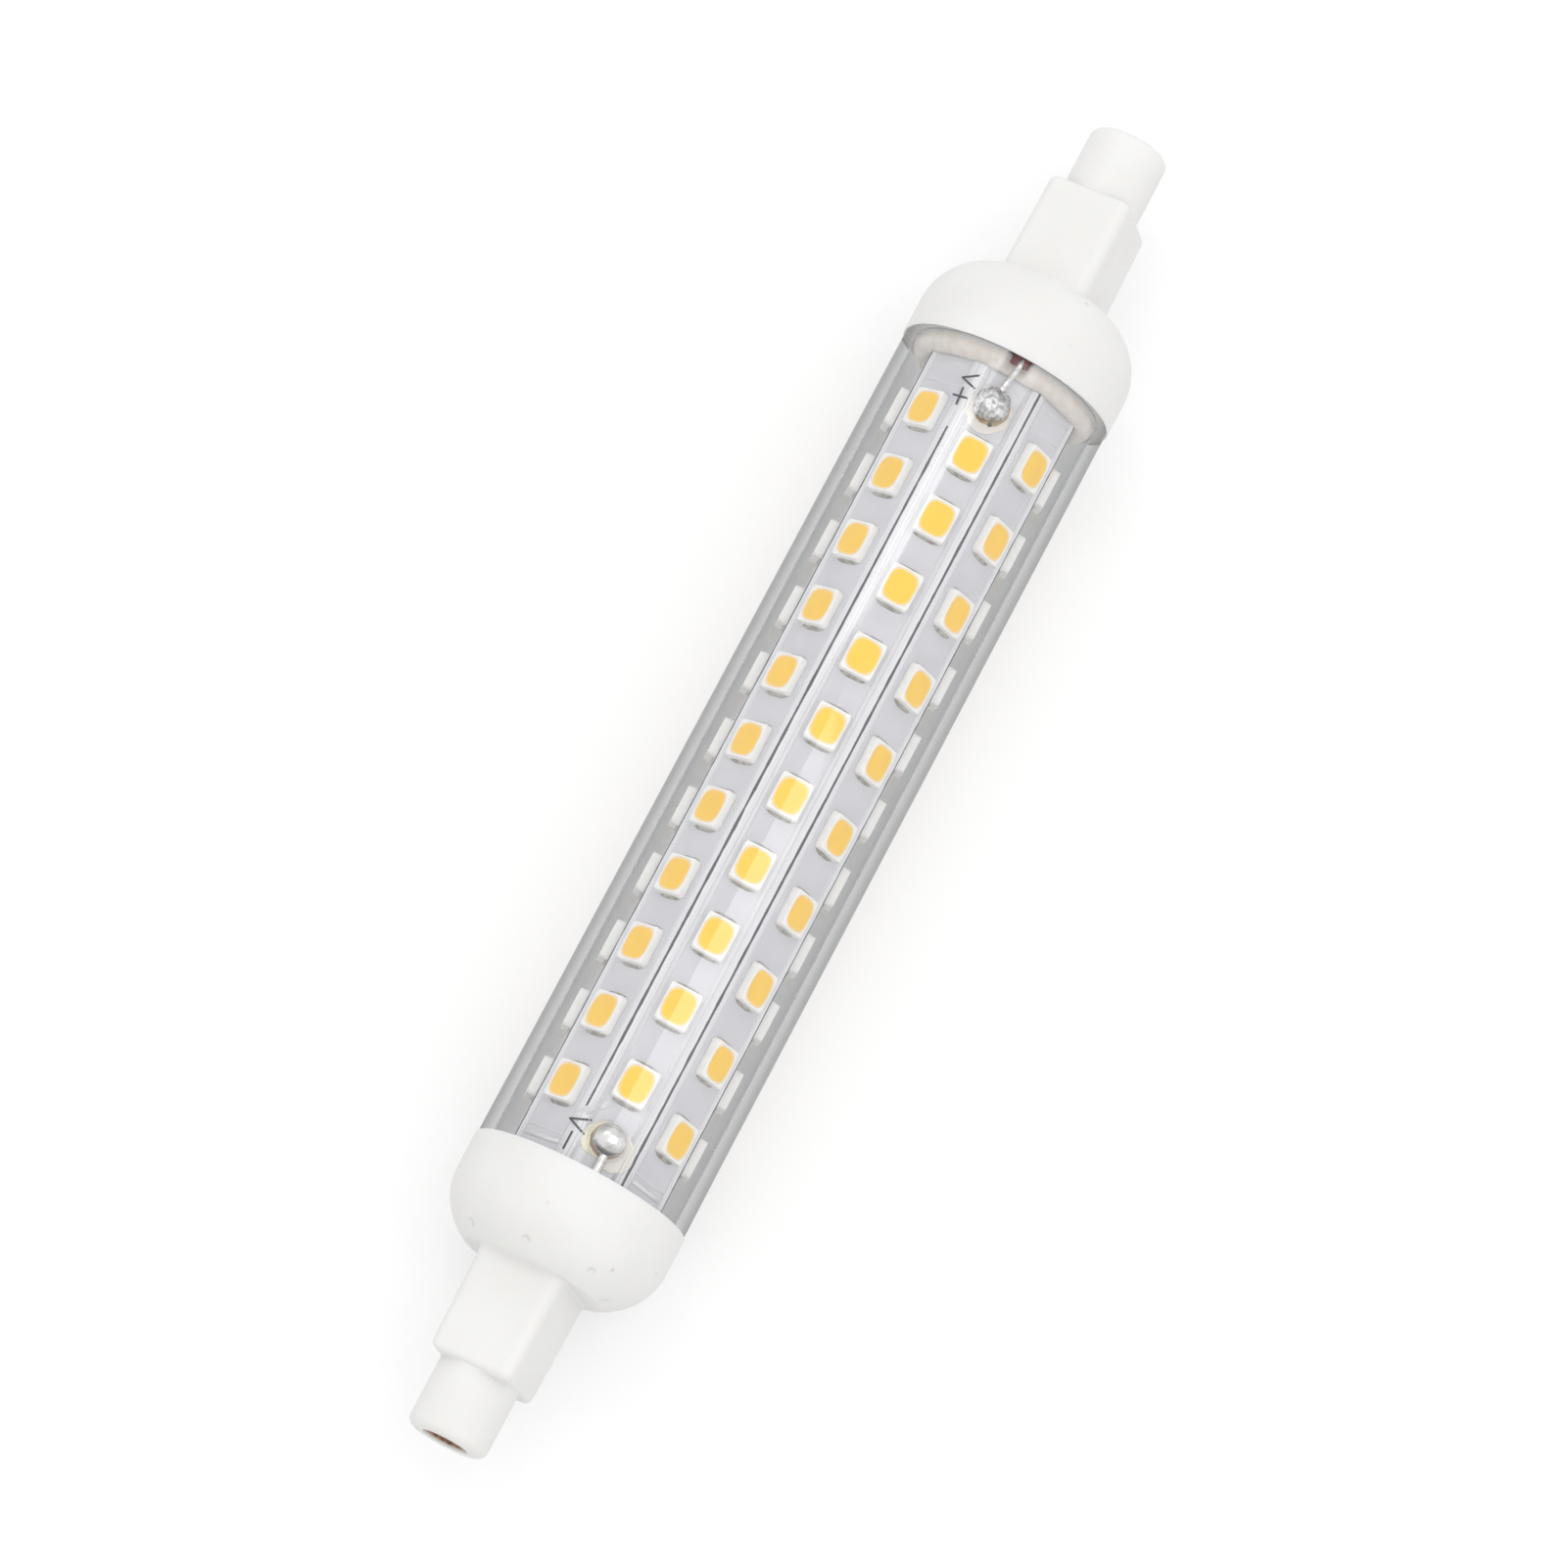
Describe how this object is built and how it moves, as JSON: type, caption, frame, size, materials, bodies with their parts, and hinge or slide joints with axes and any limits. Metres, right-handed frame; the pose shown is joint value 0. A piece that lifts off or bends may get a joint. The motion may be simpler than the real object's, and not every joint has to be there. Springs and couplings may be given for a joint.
{
  "type": "double-ended led corn bulb",
  "caption": "Double-ended tube lamp: clear sleeve over a folded many-sided board covered in LED packages, between ceramic end caps with recessed contacts.",
  "frame": {"origin": "middle of the lamp, on its axis", "axes": "+X along the lamp's axis to its V+ end, +Z out of the board face with the two solder joints, +Y to its left seen from the V- end"},
  "size_m": [0.118, 0.0182, 0.0182],
  "materials": {
    "ceramic": "satin, warm white",
    "contact": "tarnished, dull",
    "clear_sleeve": "clear, polished",
    "board_mask": "solder mask, satin",
    "led_housing": "moulded white",
    "led_phosphor": "silicone fill, satin",
    "solder_fillet": "bright solder",
    "joint_solder": "hand soldered",
    "liner": "clear film, satin",
    "driver_board": "solder mask, satin",
    "chip_resistor": "glazed black",
    "capacitor_can": "bright, drawn",
    "package": "moulded black",
    "legs": "tinned",
    "chip_capacitor": "matte tan",
    "bare_wire": "tinned copper",
    "red_insulation": "satin",
    "black_insulation": "satin",
    "white_insulation": "satin"
  },
  "bodies": {
    "root": {"bridge_rectifier": "package", "capacitor_base": "package", "chip_capacitor": "chip_capacitor", "chip_resistors": "chip_resistor", "contact_minus": "contact", "contact_plus": "contact", "current_regulator": "package", "driver_board": "driver_board", "driver_solder": "solder_fillet", "end_cap_minus": "ceramic", "end_cap_plus": "ceramic", "fusible_resistor": "chip_resistor", "led_board": "board_mask", "led_housings_1": "led_housing", "led_housings_2": "led_housing", "led_housings_3": "led_housing", "led_housings_4": "led_housing", "led_housings_5": "led_housing", "led_housings_6": "led_housing", "led_housings_7": "led_housing", "led_housings_8": "led_housing", "led_phosphors_1": "led_phosphor", "led_phosphors_2": "led_phosphor", "led_phosphors_3": "led_phosphor", "led_phosphors_4": "led_phosphor", "led_phosphors_5": "led_phosphor", "led_phosphors_6": "led_phosphor", "led_phosphors_7": "led_phosphor", "led_phosphors_8": "led_phosphor", "led_solder_1": "solder_fillet", "led_solder_2": "solder_fillet", "led_solder_3": "solder_fillet", "led_solder_4": "solder_fillet", "led_solder_5": "solder_fillet", "led_solder_6": "solder_fillet", "led_solder_7": "solder_fillet", "led_solder_8": "solder_fillet", "liner": "liner", "mains_insulation_minus": "white_insulation", "mains_insulation_plus": "white_insulation", "mains_wire_minus": "bare_wire", "mains_wire_plus": "bare_wire", "minus_lead_insulation": "black_insulation", "minus_lead_wire": "bare_wire", "plus_lead_insulation": "red_insulation", "plus_lead_wire": "bare_wire", "rectifier_legs": "legs", "regulator_legs": "legs", "smoothing_capacitor": "capacitor_can", "solder_joint_minus": "joint_solder", "solder_joint_plus": "joint_solder", "tube": "clear_sleeve"}
  },
  "joints": []
}
